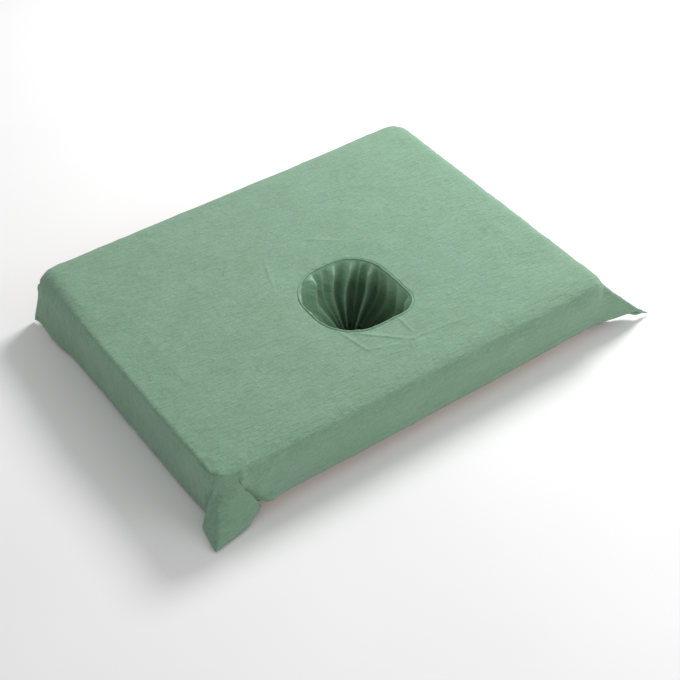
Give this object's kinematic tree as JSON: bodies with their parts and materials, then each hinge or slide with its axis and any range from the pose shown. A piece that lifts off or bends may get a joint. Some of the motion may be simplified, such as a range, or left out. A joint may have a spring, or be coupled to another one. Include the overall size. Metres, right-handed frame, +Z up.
{
  "type": "face cradle cushion",
  "caption": "Rectangular foam face cushion with a face hole, under a loose cloth cover that hangs over three sides and has a gathered sleeve in its hole.",
  "frame": {"origin": "centre of the back loop strip's face, on the plane that the cushion rests on and midway along its length", "axes": "+X along the cushion's long side, -Y towards the long side that the cover hangs over, +Z up out of the cushion's top"},
  "size_m": [0.8034, 0.5559, 0.1002],
  "materials": {
    "plywood": "matte",
    "firm_foam": "matte",
    "soft_foam": "matte",
    "upholstery": "satin",
    "upholstery_thread": "matte",
    "dust_cloth": "matte",
    "staple_steel": "satin",
    "loop_tape": "matte",
    "cover_cloth": "matte",
    "elastic": "matte",
    "cover_thread": "matte"
  },
  "bodies": {
    "cushion": {"base_board": "plywood", "foam_core": "firm_foam", "comfort_foam": "soft_foam", "upholstery_cover": "upholstery", "hole_liner": "upholstery", "hole_seam_thread": "upholstery_thread", "corner_seam_thread": "upholstery_thread", "dust_cover": "dust_cloth", "perimeter_staples": "staple_steel", "hole_staples": "staple_steel", "loop_strip_back": "loop_tape", "loop_strip_front_left": "loop_tape", "loop_strip_front_right": "loop_tape"},
    "cloth_cover": {"cover_sheet": "cover_cloth", "face_sleeve": "cover_cloth", "sleeve_elastic": "elastic", "sleeve_seam_thread": "cover_thread", "rim_thread": "cover_thread", "hem_thread": "cover_thread", "corner_tacks": "cover_thread"}
  },
  "joints": [
    {"name": "cover_lift", "type": "slide", "parent": "cushion", "child": "cloth_cover", "axis": [0, 0, 1], "range_m": [0, 0.15]}
  ]
}
